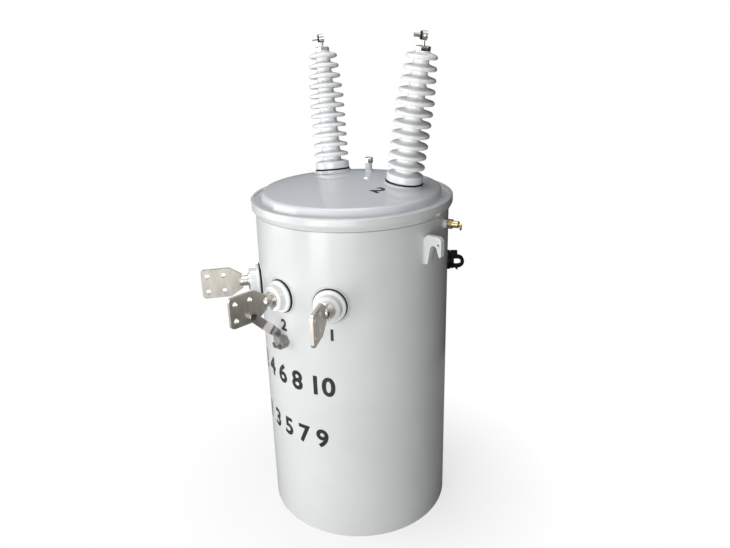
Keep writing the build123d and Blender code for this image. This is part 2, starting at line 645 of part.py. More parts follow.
loop = extrude(d_shape(loop_half, hub_end), TAP_LOOP_T / 2, both=True)
loop -= extrude(d_shape(in_half, hub_end), TAP_LOOP_T, both=True)
loop = Pos(0, -TAP_LOOP_DROP, 0) * loop
tab_end = TANK_R + TAP_TAB_OUT
tab_size = (TAP_TAB_W, TAP_TAB_TOP - TAP_TAB_LOW, tab_end - hub_low)
tab = Pos(0, TAP_TAB_LOW, hub_low) * Box(*tab_size, align=(Align.CENTER, Align.MIN, Align.MIN))
tab_eye = Pos(0, (TAP_TAB_TOP + TAP_TAB_LOW) / 2, (hub_end + tab_end) / 2) * Rot(0, 90, 0)
tab_hole = tab_eye * round_bar(TAP_TAB_HOLE_R, -TAP_TAB_W, TAP_TAB_W)
pointer_at = TANK_R + TAP_POINTER_OUT
pointer = make_face(Polyline(
    (0, -loop_half, pointer_at - TAP_POINTER_W / 2), (0, -loop_half, pointer_at + TAP_POINTER_W / 2),
    (0, -loop_half - TAP_POINTER_L, pointer_at + TAP_POINTER_W / 2), close=True,
))
handle += loop + (tab - tab_hole) + extrude(pointer, TAP_LOOP_T / 2, both=True)
nodes["tap_handle"] = tap * handle

os.makedirs("parts", exist_ok=True)
for name, solid in nodes.items():
    export_step(solid, f"parts/{name}.step")
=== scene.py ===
from math import asin, cos, hypot, radians, sin, sqrt, tau

import bmesh
import bpy
from mathutils import Matrix, Vector


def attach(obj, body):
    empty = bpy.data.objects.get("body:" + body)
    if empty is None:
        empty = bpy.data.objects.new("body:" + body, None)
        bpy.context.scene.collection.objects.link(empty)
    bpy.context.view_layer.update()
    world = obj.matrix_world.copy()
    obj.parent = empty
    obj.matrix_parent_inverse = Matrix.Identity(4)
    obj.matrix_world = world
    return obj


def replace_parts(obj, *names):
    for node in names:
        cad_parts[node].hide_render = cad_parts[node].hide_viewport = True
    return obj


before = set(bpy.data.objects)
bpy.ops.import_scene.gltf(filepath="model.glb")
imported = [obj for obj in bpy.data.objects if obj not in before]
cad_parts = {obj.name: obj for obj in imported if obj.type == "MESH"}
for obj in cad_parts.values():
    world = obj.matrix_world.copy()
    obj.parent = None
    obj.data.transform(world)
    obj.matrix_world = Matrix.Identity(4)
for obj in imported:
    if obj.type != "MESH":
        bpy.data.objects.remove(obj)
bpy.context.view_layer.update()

# Tank wall. Sheet steel rolled into a drum and welded, with a lip turned out at the top for the cover.
# It is sprayed with light grey enamel that levels to a gloss and keeps a faint orange peel.
# The foot of the drum is the rim that the whole unit stands on.
tank_r = 0.265
tank_in_r = 0.262
tank_h = 0.935
lip_r = 0.271
lip_foot = 0.922
lip_low = 0.928
foot_round = 0.0008
drum_steps = 256
# Heights and colour of a painted shadow line on the drum, just under the clamp band's foot.
shadow_line_low = 0.9065
shadow_line_top = 0.9095
shadow_line_colour = (0.14, 0.125, 0.11)
same_point = 1e-6
same_ring = 1e-5


def rounded(bm, edges, size, segments):
    """Edges of a mesh rounded off to that size."""
    bmesh.ops.bevel(bm, geom=edges, offset=size, offset_type="OFFSET", segments=segments, profile=0.5,
                    affect="EDGES", material=-1, clamp_overlap=True)


def on_ring(at, r, z):
    """True for a point on the ring of that radius and height."""
    return abs(hypot(at.x, at.y) - r) < same_ring and abs(at.z - z) < same_ring


def spun(profile, steps, rounds=(), turn=tau):
    """A (radius, height) outline spun about Z, closed unless it ends on the axis, with ring edges rounded."""
    bm = bmesh.new()
    verts = [bm.verts.new((r, 0.0, z)) for r, z in profile]
    ends_on_axis = profile[0][0] == 0.0 and profile[-1][0] == 0.0
    after = verts[1:] if ends_on_axis else verts[1:] + verts[:1]
    edges = [bm.edges.new(pair) for pair in zip(verts, after)]
    bmesh.ops.spin(bm, geom=verts + edges, cent=(0, 0, 0), axis=(0, 0, 1), angle=turn, steps=steps,
                   use_merge=turn == tau)
    bmesh.ops.remove_doubles(bm, verts=bm.verts[:], dist=same_point)
    bmesh.ops.holes_fill(bm, edges=[e for e in bm.edges if e.is_boundary], sides=0)
    bmesh.ops.recalc_face_normals(bm, faces=bm.faces[:])
    for r, z, size in rounds:
        rounded(bm, [e for e in bm.edges if all(on_ring(v.co, r, z) for v in e.verts)], size, 5)
    return bm


def piece(name, bm, finish, body="transformer", place=None, sharp=40):
    """A finished piece of the part from its mesh, riding on a body. Edges past sharp degrees stay crisp."""
    if place is not None:
        bmesh.ops.transform(bm, matrix=place, verts=bm.verts[:])
    mesh = bpy.data.meshes.new(name)
    bm.to_mesh(mesh)
    bm.free()
    mesh.materials.append(finish)
    mesh.shade_smooth()
    mesh.set_sharp_from_angle(angle=radians(sharp))
    made = bpy.data.objects.new(name, mesh)
    bpy.context.scene.collection.objects.link(made)
    even = made.modifiers.new("even_faces", "WEIGHTED_NORMAL")
    even.keep_sharp = True
    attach(made, body)
    return made


def new_finish(name, colour, metallic, roughness):
    """A material with its shader's plain values set."""
    finish = bpy.data.materials.new(name)
    finish.use_nodes = True
    shader = finish.node_tree.nodes["Principled BSDF"]
    shader.inputs["Base Color"].default_value = (*colour, 1)
    shader.inputs["Metallic"].default_value = metallic
    shader.inputs["Roughness"].default_value = roughness
    return finish


def clouds(finish, size, detail=3.0, stretch=(1, 1, 1)):
    """Cloudy noise in the object's own space, with marks of about that size in metres."""
    nodes = finish.node_tree.nodes
    links = finish.node_tree.links
    where = nodes.new("ShaderNodeTexCoord")
    turn = nodes.new("ShaderNodeMapping")
    turn.inputs["Scale"].default_value = stretch
    noise = nodes.new("ShaderNodeTexNoise")
    noise.inputs["Scale"].default_value = 1 / size
    noise.inputs["Detail"].default_value = detail
    links.new(where.outputs["Object"], turn.inputs["Vector"])
    links.new(turn.outputs["Vector"], noise.inputs["Vector"])
    return noise.outputs["Fac"]


def tint(finish, fac, low, high):
    """The base colour runs from low to high over the middle of fac."""
    ramp = finish.node_tree.nodes.new("ShaderNodeValToRGB")
    ramp.color_ramp.elements[0].position = 0.35
    ramp.color_ramp.elements[0].color = (*low, 1)
    ramp.color_ramp.elements[1].position = 0.65
    ramp.color_ramp.elements[1].color = (*high, 1)
    shader = finish.node_tree.nodes["Principled BSDF"]
    finish.node_tree.links.new(fac, ramp.inputs["Fac"])
    finish.node_tree.links.new(ramp.outputs["Color"], shader.inputs["Base Color"])


def polish(finish, fac, low, high):
    """The roughness runs from low to high over the middle of fac."""
    span = finish.node_tree.nodes.new("ShaderNodeMapRange")
    span.inputs["From Min"].default_value = 0.3
    span.inputs["From Max"].default_value = 0.7
    span.inputs["To Min"].default_value = low
    span.inputs["To Max"].default_value = high
    shader = finish.node_tree.nodes["Principled BSDF"]
    finish.node_tree.links.new(fac, span.inputs["Value"])
    finish.node_tree.links.new(span.outputs["Result"], shader.inputs["Roughness"])


def relief(finish, fac, height):
    """A raised grain of that height in metres, on top of any grain already there."""
    links = finish.node_tree.links
    shader = finish.node_tree.nodes["Principled BSDF"]
    bump = finish.node_tree.nodes.new("ShaderNodeBump")
    bump.inputs["Distance"].default_value = height
    if shader.inputs["Normal"].is_linked:
        links.new(shader.inputs["Normal"].links[0].from_socket, bump.inputs["Normal"])
    links.new(fac, bump.inputs["Height"])
    links.new(bump.outputs["Normal"], shader.inputs["Normal"])


def grime(finish, low, high, colour):
    """A painted shadow line in the corner just below a height: the base colour turns to the given dark colour
    from low up to high, and stays so above.
    """
    nodes = finish.node_tree.nodes
    links = finish.node_tree.links
    base = nodes["Principled BSDF"].inputs["Base Color"]
    where = nodes.new("ShaderNodeTexCoord")
    split = nodes.new("ShaderNodeSeparateXYZ")
    span = nodes.new("ShaderNodeMapRange")
    span.inputs["From Min"].default_value = low
    span.inputs["From Max"].default_value = high
    shadow_mix = nodes.new("ShaderNodeMix")
    shadow_mix.data_type = "RGBA"
    shadow_mix.inputs["B"].default_value = (*colour, 1)
    links.new(where.outputs["Object"], split.inputs["Vector"])
    links.new(split.outputs["Z"], span.inputs["Value"])
    links.new(span.outputs["Result"], shadow_mix.inputs["Factor"])
    links.new(base.links[0].from_socket, shadow_mix.inputs["A"])
    links.new(shadow_mix.outputs["Result"], base)


enamel = new_finish("grey_enamel", (0.6, 0.615, 0.615), 0.0, 0.2)
tint(enamel, clouds(enamel, 0.22, 5.0), (0.575, 0.59, 0.59), (0.61, 0.625, 0.625))
polish(enamel, clouds(enamel, 0.035, 4.0), 0.16, 0.24)
relief(enamel, clouds(enamel, 0.12, 1.0), 0.0006)
relief(enamel, clouds(enamel, 0.0035, 2.0), 0.00003)
# The drum gets a copy of the enamel that turns dark in a thin band under the clamp band's foot: painted shade
# for the shadow below the band.
drum_enamel_painted_shadow_line = enamel.copy()
drum_enamel_painted_shadow_line.name = "drum_enamel_painted_shadow_line"
grime(drum_enamel_painted_shadow_line, shadow_line_low, shadow_line_top, shadow_line_colour)
wall_outline = [(tank_in_r, 0.0), (tank_r, 0.0), (tank_r, lip_foot), (lip_r, lip_low), (lip_r, tank_h),
                (tank_in_r, tank_h)]
wall = spun(wall_outline, drum_steps, [(tank_r, 0.0, foot_round)])
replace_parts(piece("tank_drum", wall, drum_enamel_painted_shadow_line), "tank_wall")

# Tank bottom. A flat steel disc set up inside the drum so that only the rim touches the ground.
# A continuous fillet weld holds it to the wall, and one upright weld closes the drum at the back.
# The same enamel covers all of it.
bottom_z = 0.014
bottom_top = bottom_z + 0.004
bottom_steps = 128
bottom_bead = 0.003
bottom_bead_in = 0.0005
seam_az = 205
seam_sunk = 0.0012
seam_bead = 0.0024
seam_low = 0.004
seam_step = 0.003
seam_dots = 299
bottom_outline = [(0.0, bottom_z), (tank_in_r, bottom_z), (tank_in_r, bottom_top), (0.0, bottom_top)]
bottom = spun(bottom_outline, bottom_steps)
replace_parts(piece("tank_floor_disc", bottom, enamel), "tank_bottom")


def meshed(name, line):
    """A mesh to work on from a curve or a text, which is then deleted."""
    draft = bpy.data.objects.new(name, line)
    bpy.context.scene.collection.objects.link(draft)
    mesh = bpy.data.meshes.new_from_object(draft.evaluated_get(bpy.context.evaluated_depsgraph_get()))
    bpy.data.objects.remove(draft)
    bpy.data.curves.remove(line)
    bm = bmesh.new()
    bm.from_mesh(mesh)
    bpy.data.meshes.remove(mesh)
    bmesh.ops.remove_doubles(bm, verts=bm.verts[:], dist=same_point)
    return bm


def weld(name, points, width, closed):
    """A painted fillet weld along points, its run rippled by the welder's steps."""
    line = bpy.data.curves.new(name, "CURVE")
    line.dimensions = "3D"
    line.bevel_depth = width
    line.bevel_resolution = 3
    line.use_fill_caps = True
    spline = line.splines.new("POLY")
    spline.points.add(len(points) - 1)
    spline.use_cyclic_u = closed
    for i, (dot, at) in enumerate(zip(spline.points, points)):
        dot.co = (*at, 1)
        dot.radius = 1.0 + 0.13 * sin(i * 2.1)
    bead = meshed(name, line)
    bmesh.ops.recalc_face_normals(bead, faces=bead.faces[:])
    piece(name, bead, enamel, sharp=80)


def circle_points(radius, height, count):
    """Points round the tank's axis."""
    return [(radius * cos(tau * i / count), radius * sin(tau * i / count), height) for i in range(count)]


def upright_points(x, y, low, step, count):
    """Points straight up the wall."""
    return [(x, y, low + step * i) for i in range(count)]


weld("bottom_weld", circle_points(tank_in_r - bottom_bead_in, bottom_z, 360), bottom_bead, closed=True)
seam_x = (tank_r - seam_sunk) * sin(radians(seam_az))
seam_y = -(tank_r - seam_sunk) * cos(radians(seam_az))
weld("drum_seam", upright_points(seam_x, seam_y, seam_low, seam_step, seam_dots), seam_bead, closed=False)

# Core and coils. A laminated steel core and its paper-wrapped windings, under oil inside the tank.
# They never show, so the solid itself is kept and only gets its varnished finish.
varnish = new_finish("varnished_core", (0.06, 0.05, 0.045), 0.0, 0.5)
tint(varnish, clouds(varnish, 0.03), (0.05, 0.045, 0.04), (0.09, 0.075, 0.06))
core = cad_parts["core_and_coils"]
core.data.materials.clear()
core.data.materials.append(varnish)

# Cover. One pressed sheet: a domed disc, a rounded sloping shoulder and a flange that lies on the tank's lip.
# It has the tank's enamel, levelled better because it lay flat, so it mirrors what stands on it.
cover_edge_r = 0.243
cover_edge_z = 0.960
cover_crown = 0.028
cover_t = 0.003
cover_edge_round = 0.007
flange_z = 0.938
shoulder_r = 0.251
shoulder_in_r = 0.2499
shoulder_round = 0.004
inside_share = 0.9955
dome_r = (cover_edge_r ** 2 + cover_crown ** 2) / (2 * cover_crown)
dome_rings = 20


def dome_z(r):
    """Height of the cover's dome at that distance from the tank's axis."""
    return cover_edge_z + cover_crown - dome_r + sqrt(dome_r ** 2 - r ** 2)


# The cover's base colour and its cloudy range are a little bluer than the drum's enamel: a painted reflection
# of the sky.
cover_enamel_painted_sky_tint = new_finish("cover_enamel_painted_sky_tint", (0.6, 0.62, 0.645), 0.0, 0.04)
tint(cover_enamel_painted_sky_tint, clouds(cover_enamel_painted_sky_tint, 0.2, 4.0), (0.585, 0.605, 0.63), (0.61, 0.63, 0.655))
polish(cover_enamel_painted_sky_tint, clouds(cover_enamel_painted_sky_tint, 0.05, 3.0), 0.004, 0.012)
relief(cover_enamel_painted_sky_tint, clouds(cover_enamel_painted_sky_tint, 0.14, 1.0), 0.0002)
relief(cover_enamel_painted_sky_tint, clouds(cover_enamel_painted_sky_tint, 0.004, 2.0), 0.000004)
dome_radii = [cover_edge_r * i / dome_rings for i in range(dome_rings + 1)]
dome = [(r, dome_z(r)) for r in dome_radii]
shoulder = [(shoulder_r, flange_z), (lip_r, flange_z), (lip_r, tank_h), (shoulder_in_r, tank_h)]
inside = [(r * inside_share, z - cover_t) for r, z in reversed(dome)]
cover = spun(dome + shoulder + inside, drum_steps,
             [(*dome[-1], cover_edge_round), (shoulder_r, flange_z, shoulder_round)])
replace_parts(piece("pressed_cover", cover, cover_enamel_painted_sky_tint), "cover")

# Clamp ring. A rolled channel that wraps the flange and the lip, split at the back and drawn tight there by
# a bolt through two welded ears. The ring has the tank's enamel and the bolt is bright zinc.
band_joint = 235.0
band_gap = 0.010
band_r = 0.2755
band_in_r = 0.273
band_reach_r = 0.2665
band_foot_r = 0.2678
band_foot_in_r = 0.2653
band_low = 0.910
band_turn = 0.924
band_top = 0.944
band_steps = 254
ear_size = (0.006, 0.0155, 0.0325)
ear_round = 0.0012


def dressed(node, name, finish, edge, body="transformer"):
    """A copy of a solid with its sharp edges broken, shown in its place."""
    bm = bmesh.new()
    bm.from_mesh(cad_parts[node].data)
    bmesh.ops.remove_doubles(bm, verts=bm.verts[:], dist=same_point)
    bmesh.ops.dissolve_limit(bm, angle_limit=radians(0.3), verts=bm.verts[:], edges=bm.edges[:])
    rounded(bm, [e for e in bm.edges if e.is_manifold and e.calc_face_angle(0.0) > radians(35)], edge, 2)
    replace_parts(piece(name, bm, finish, body), node)


def on_wall(azimuth, height):
    """A place on the tank's axis whose Z points out through the wall at that azimuth."""
    around = radians(azimuth)
    along = Vector((cos(around), sin(around), 0.0))
    out = Vector((sin(around), -cos(around), 0.0))
    place = Matrix((along, Vector((0.0, 0.0, 1.0)), out)).transposed().to_4x4()
    place.translation = (0.0, 0.0, height)
    return place


def add_block(bm, size, place, edge, segments):
    """A block with rounded edges added to a mesh at a place."""
    corners = set(bmesh.ops.create_cube(bm, size=1.0, matrix=place @ Matrix.Diagonal((*size, 1.0)))["verts"])
    rounded(bm, [e for e in bm.edges if corners.issuperset(e.verts)], edge, segments)


zinc = new_finish("bright_zinc", (0.36, 0.35, 0.33), 1.0, 0.24)
tint(zinc, clouds(zinc, 0.004, 4.0), (0.26, 0.25, 0.235), (0.44, 0.43, 0.41))
polish(zinc, clouds(zinc, 0.002, 3.0), 0.18, 0.32)
relief(zinc, clouds(zinc, 0.0009, 2.0), 0.00003)
dressed("clamp_ring_bolt", "clamp_band_bolt", zinc, edge=0.0007)
band_split = 2 * asin(band_gap / 2 / band_r)
band_outline = [(band_reach_r, flange_z), (band_reach_r, band_top), (band_r, band_top), (band_r, band_turn),
                (band_foot_r, band_low), (band_foot_in_r, band_low), (band_in_r, band_turn),
                (band_in_r, flange_z)]
band_rounds = [(band_reach_r, band_top, 0.0008), (band_r, band_top, 0.0044), (band_r, band_turn, 0.003),
               (band_foot_r, band_low, 0.0018)]
band = spun(band_outline, band_steps, band_rounds, tau - band_split)
band_turned = Matrix.Rotation(radians(band_joint - 90) + band_split / 2, 3, "Z")
bmesh.ops.rotate(band, cent=(0, 0, 0), matrix=band_turned, verts=band.verts[:])
for side in (-1, 1):
    ear_at = (side * (band_gap + ear_size[0]) / 2, ear_size[1] / 2, band_in_r + ear_size[2] / 2)
    add_block(band, ear_size, on_wall(band_joint, band_turn) @ Matrix.Translation(ear_at), ear_round, 3)
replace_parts(piece("clamp_band", band, enamel), "cover_clamp_ring")

# High voltage bushings. Wet-pressed porcelain with sheds, glazed pale grey, each leaning outwards on a low
# boss on the domed cover with a black rubber gasket between. The shed rims are thick and round, the core
# tapers to the top, and a tinned cap and eye take the line.
hv_azimuth = 114.0
hv_lean = 8.4
hv_reach = 0.1509
hv_bore_r = 0.026
hv_base = 0.004
hv_top = 0.331
boss_r = 0.053
boss_low = -0.0065
boss_h = 0.0037
boss_round = 0.0012
hv_seal_r = 0.050
hv_seal_round = 0.001
shank_r = 0.0257
shank_low = -0.06
foot_r = 0.0485
foot_top = 0.023
slope_top = 0.029
core_base_r = 0.0275
core_taper = 0.0085
sheds = 11
last_wide_shed = 6
shed_first = 0.040
shed_pitch = 0.0273
shed_r = 0.049
shed_taper = 0.0095
shed_under = 0.005
shed_tip = 0.0046
shed_rise = 0.011
neck_r = 0.019
hv_steps = 96
clamp_azimuth = -44.0
eye_h = 0.3657
# Size of a black ring on each eye round its clamp bolt: a dark piece that stands in for the shade in the gap
# there.
eye_shade_in_r = 0.005
eye_shade_r = 0.0102
eye_shade_low = 0.006
eye_shade_top = 0.0112
eye_shade_round = 0.0008


def on_seat(side):
    """The place of a bushing's gasket face on the cover: Z along the bushing."""
    around = radians(side * hv_azimuth)
    lean = radians(hv_lean)
    axis = Vector((sin(around) * sin(lean), -cos(around) * sin(lean), cos(lean)))
    along = Vector((cos(around), sin(around), 0.0))
    place = Matrix((along, axis.cross(along), axis)).transposed().to_4x4()
    place.translation = (hv_reach * sin(around), -hv_reach * cos(around), dome_z(hv_reach) + boss_h)
    return place


def on_eye(side):
    """The place of a terminal's eye: Z along its clamp bolt."""
    seat = on_seat(side)
    axis = seat.col[2].to_3d()
    out = Vector((sin(radians(clamp_azimuth)), -cos(radians(clamp_azimuth)), 0.0))
    out = (out - axis * out.dot(axis)).normalized()
    place = Matrix((axis.cross(out), axis, out)).transposed().to_4x4()
    place.translation = seat @ Vector((0.0, 0.0, eye_h))
    return place


def core_point(z):
    """A point on the tapering core of the porcelain."""
    return (core_base_r - core_taper * (z - hv_base) / (hv_top - hv_base), z)


def tube(in_r, out_r, low, high, steps, rounds=()):
    """A straight tube with square ends, its edges rounded where asked."""
    return spun([(in_r, low), (out_r, low), (out_r, high), (in_r, high)], steps, rounds)


def bushing_porcelain():
    """The whole turned porcelain: shank, base collar, core and sheds."""
    outline = [(0.0, shank_low), (shank_r, shank_low), (shank_r, hv_base), (foot_r, hv_base),
               (foot_r, foot_top), core_point(slope_top)]
    rounds = [(foot_r, hv_base, 0.0015), (foot_r, foot_top, 0.003), (*core_point(slope_top), 0.003)]
    for i in range(sheds):
        z = hv_base + shed_first + i * shed_pitch
        rim = shed_r - shed_taper * max(0, i - last_wide_shed) / (sheds - 1 - last_wide_shed)
        under = core_point(z - shed_under)
        root = core_point(z + shed_rise)
        outline += [under, (rim, z - shed_tip), (rim, z + shed_tip), root]
        rounds += [(*under, 0.0025), (rim, z - shed_tip, 0.0044), (rim, z + shed_tip, 0.0044)]
        if i < sheds - 1:
            rounds += [(*root, 0.0045)]
    outline += [(neck_r, hv_top), (0.0, hv_top)]
    return spun(outline, hv_steps, rounds)


glaze = new_finish("pale_glaze", (0.75, 0.755, 0.76), 0.0, 0.12)
tint(glaze, clouds(glaze, 0.05, 4.0), (0.73, 0.735, 0.74), (0.765, 0.77, 0.775))
polish(glaze, clouds(glaze, 0.02, 3.0), 0.09, 0.16)
relief(glaze, clouds(glaze, 0.03, 2.0), 0.0003)
rubber = new_finish("black_rubber", (0.008, 0.008, 0.008), 0.0, 0.6)
rubber.node_tree.nodes["Principled BSDF"].inputs["Specular IOR Level"].default_value = 0.2
tint(rubber, clouds(rubber, 0.006), (0.005, 0.005, 0.005), (0.012, 0.012, 0.011))
relief(rubber, clouds(rubber, 0.0012), 0.00004)
tinned = new_finish("tinned_cap", (0.38, 0.37, 0.355), 1.0, 0.18)
tint(tinned, clouds(tinned, 0.005, 4.0), (0.31, 0.3, 0.285), (0.44, 0.43, 0.415))
polish(tinned, clouds(tinned, 0.003, 3.0), 0.12, 0.24)
relief(tinned, clouds(tinned, 0.001, 2.0), 0.00003)
for number, side in ((1, -1), (2, 1)):
    place = on_seat(side)
    boss = tube(hv_bore_r, boss_r, boss_low, 0.0, hv_steps, [(boss_r, 0.0, boss_round)])
    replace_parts(piece(f"hv_boss_{number}", boss, cover_enamel_painted_sky_tint, place=place),
                f"hv_seat_{number}")
    seal = tube(hv_bore_r, hv_seal_r, 0.0, hv_base, hv_steps,
                [(hv_seal_r, 0.0, hv_seal_round), (hv_seal_r, hv_base, hv_seal_round)])
    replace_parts(piece(f"hv_seal_{number}", seal, rubber, place=place), f"hv_gasket_{number}")
    shedded = bushing_porcelain()
    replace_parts(piece(f"hv_porcelain_{number}", shedded, glaze, place=place, sharp=60),
                f"hv_bushing_{number}")
    dressed(f"hv_cap_{number}", f"hv_cap_nut_{number}", tinned, edge=0.0012)
    dressed(f"hv_terminal_{number}", f"hv_eye_{number}", tinned, edge=0.0008)
    # A black ring on the eye's face round the clamp bolt: painted shade, a dark piece put where the gap
    # between bolt and eye lies in shadow.
    eye_shade_ring = tube(eye_shade_in_r, eye_shade_r, eye_shade_low, eye_shade_top, 48, [(eye_shade_r, eye_shade_top, eye_shade_round)])
    piece(f"hv_eye_shade_ring_{number}", eye_shade_ring, rubber, place=on_eye(side))

# Oil filler. A short pipe stub welded to the cover, closed by a chromed hexagon plug.
# The weld leaves a small foot round the stub, and the cover's enamel runs up over both.
stub_reach = 0.105
stub_az = radians(196.0)
stub_r = 0.0095
stub_low = -0.0035
stub_top = 0.024
stub_foot_r = 0.0125
stub_foot_top = 0.0015
stub_foot_end = 0.004
stub_round = 0.001
chrome = new_finish("plug_chrome", (0.6, 0.61, 0.63), 1.0, 0.08)
polish(chrome, clouds(chrome, 0.004, 3.0), 0.05, 0.14)
stub_outline = [(0.0, stub_low), (stub_foot_r, stub_low), (stub_foot_r, stub_foot_top),
                (stub_r, stub_foot_end), (stub_r, stub_top), (0.0, stub_top)]
stub = spun(stub_outline, 64, [(*at, stub_round) for at in stub_outline[2:5]])
stub_place = Matrix.Translation((stub_reach * sin(stub_az), -stub_reach * cos(stub_az), dome_z(stub_reach)))
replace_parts(piece("filler_pipe", stub, cover_enamel_painted_sky_tint, place=stub_place), "filler_stub")
dressed("filler_plug", "filler_hexagon", chrome, edge=0.0009)

# Low voltage bushings. Each is a stepped porcelain nose on a boss welded into the wall, with a rubber gasket
# under it and a stud through it. A tanged lock washer and a domed barrel on the stud hold the spade.
lv_z = 0.719
lv_bore_r = 0.019
lv_boss_r = 0.049
lv_boss_in = 0.254
lv_boss_round = 0.001
lv_face = 0.264
lv_bead_r = 0.0505
lv_bead = 0.0015
lv_seal_r = 0.0455
lv_seal_out = 0.269
lv_seal_round = 0.0008
nose_bore_r = 0.0108
nose_shank_r = 0.0187
nose_in = 0.232
nose_step_r = 0.0435
nose_step_out = 0.276
nose_r = 0.034
nose_out = 0.296
stud_r = 0.0105
stud_in = 0.217
washer_r = 0.022
washer_out = 0.300
barrel_r = 0.0145
barrel_out = 0.3255
barrel_dome = 0.009
tang_size = (0.007, 0.010, 0.0038)
tang_at = (0.0, -0.023, 0.298)
tang_round = 0.0006


def round_weld(azimuth, height, radius, count):
    """Points where a round boss of that radius meets the wall."""
    place = on_wall(azimuth, height)
    dots = []
    for i in range(count):
        x = radius * cos(tau * i / count)
        y = radius * sin(tau * i / count)
        dots.append(place @ Vector((x, y, sqrt(tank_r ** 2 - x ** 2))))
    return dots


white_glaze = new_finish("white_glaze", (0.76, 0.77, 0.77), 0.0, 0.14)
tint(white_glaze, clouds(white_glaze, 0.03, 4.0), (0.735, 0.745, 0.745), (0.775, 0.785, 0.785))
polish(white_glaze, clouds(white_glaze, 0.015, 3.0), 0.1, 0.18)
relief(white_glaze, clouds(white_glaze, 0.02, 2.0), 0.0002)
satin = new_finish("satin_plate", (0.52, 0.495, 0.445), 1.0, 0.48)
tint(satin, clouds(satin, 0.012, 5.0, (1, 1, 0.25)), (0.475, 0.45, 0.4), (0.56, 0.535, 0.48))
polish(satin, clouds(satin, 0.003, 4.0, (1, 1, 0.15)), 0.35, 0.47)
relief(satin, clouds(satin, 0.0012, 3.0, (1, 1, 0.12)), 0.00004)
cream = new_finish("stud_plate", (0.52, 0.505, 0.475), 1.0, 0.3)
tint(cream, clouds(cream, 0.008, 4.0), (0.46, 0.445, 0.415), (0.58, 0.565, 0.53))
polish(cream, clouds(cream, 0.003, 3.0), 0.25, 0.35)
relief(cream, clouds(cream, 0.001, 2.0), 0.00003)
nose_outline = [(nose_bore_r, nose_in), (nose_shank_r, nose_in), (nose_shank_r, lv_seal_out),
                (nose_step_r, lv_seal_out), (nose_step_r, nose_step_out), (nose_r, nose_step_out),
                (nose_r, nose_out), (nose_bore_r, nose_out)]
nose_rounds = [(nose_step_r, lv_seal_out, 0.001), (nose_step_r, nose_step_out, 0.003),
               (nose_r, nose_step_out, 0.002), (nose_r, nose_out, 0.003)]
stud_outline = [(0.0, stud_in), (stud_r, stud_in), (stud_r, nose_out), (washer_r, nose_out),
                (washer_r, washer_out), (barrel_r, washer_out), (barrel_r, barrel_out), (0.0, barrel_out)]
stud_rounds = [(washer_r, washer_out, 0.001), (barrel_r, barrel_out, barrel_dome)]
for number, azimuth in ((1, 32.6), (2, 0.0), (3, -32.6)):
    place = on_wall(azimuth, lv_z)
    boss = tube(lv_bore_r, lv_boss_r, lv_boss_in, lv_face, 96, [(lv_boss_r, lv_face, lv_boss_round)])
    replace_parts(piece(f"lv_boss_{number}", boss, enamel, place=place), f"lv_collar_{number}")
    weld(f"lv_boss_weld_{number}", round_weld(azimuth, lv_z, lv_bead_r, 120), lv_bead, closed=True)
    seal = tube(lv_bore_r, lv_seal_r, lv_face, lv_seal_out, 96,
                [(lv_seal_r, lv_face, lv_seal_round), (lv_seal_r, lv_seal_out, lv_seal_round)])
    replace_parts(piece(f"lv_seal_{number}", seal, rubber, place=place), f"lv_gasket_{number}")
    nose = spun(nose_outline, 96, nose_rounds)
    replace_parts(piece(f"lv_porcelain_{number}", nose, white_glaze, place=place, sharp=60),
                f"lv_bushing_{number}")
    stud = spun(stud_outline, 64, stud_rounds)
    add_block(stud, tang_size, Matrix.Translation(tang_at), tang_round, 2)
    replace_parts(piece(f"lv_terminal_{number}", stud, cream, place=place), f"lv_stud_{number}")
    dressed(f"lv_spade_{number}", f"lv_pad_{number}", satin, edge=0.0009)

# Ground strap. A flat tinned strap bolted to the middle spade, folded and twisted down to a hexagon steel
# boss on the wall. The boss is bare dark steel so that it makes contact.
strap_w = 0.025
strap_t = 0.003
strap_cuts = 140
strap_top = Vector((0.0055, -0.36655, 0.696775))
strap_foot = Vector((0.0041, -0.2925, 0.612))
strap_down = Vector((0.0, 0.5 ** 0.5, -0.5 ** 0.5))
strap_up = Vector((0.0, 0.5 ** 0.5, 0.5 ** 0.5))
strap_side = Vector((1.0, 0.0, 0.0))
plumb = Vector((0.0, 0.0, -1.0))
strap_leg = 0.082
strap_twist = 0.038
strap_flat = 0.020
strap_fold = radians(36)
fold_out = (0.049, 0.055)
fold_back = (0.071, 0.077)
strap_tip_share = 0.06
strap_round = 0.0004
strap_long = strap_w + strap_leg + strap_twist + strap_flat


def smooth_step(value, low, high):
    """0 below low, 1 above high, and a soft change between."""
    f = min(1.0, max(0.0, (value - low) / (high - low)))
    return f * f * (3 - 2 * f)


def strap_path():
    """The strap's middle, direction and width at even steps: straight, folded, twisted and flat again."""
    places = []
    step = strap_long / (strap_cuts + 1)
    at = strap_top - strap_down * strap_w / 2
    for i in range(strap_cuts + 2):
        s = i * step - strap_w / 2
        u = (s - strap_leg) / strap_twist
        if u <= 0.0:
            bend = strap_fold * (smooth_step(s, *fold_out) - smooth_step(s, *fold_back))
            way = strap_down * cos(bend) + strap_side * sin(bend)
            places.append((at.copy(), way, strap_up))
            leg_end = at.copy()
            at += way * step
        elif u < 1.0:
            at = (leg_end * (2 * u ** 3 - 3 * u ** 2 + 1)
                  + strap_down * strap_twist * (u ** 3 - 2 * u ** 2 + u)
                  + strap_foot * (3 * u ** 2 - 2 * u ** 3)
                  + plumb * strap_twist * (u ** 3 - u ** 2))
            way = (at - places[-1][0]).normalized()
            wide = strap_up.lerp(strap_side, smooth_step(u, 0.0, 1.0))
            places.append((at, way, (wide - way * wide.dot(way)).normalized()))
        else:
            places.append((strap_foot + plumb * (u - 1.0) * strap_twist, plumb, strap_side))
    return places


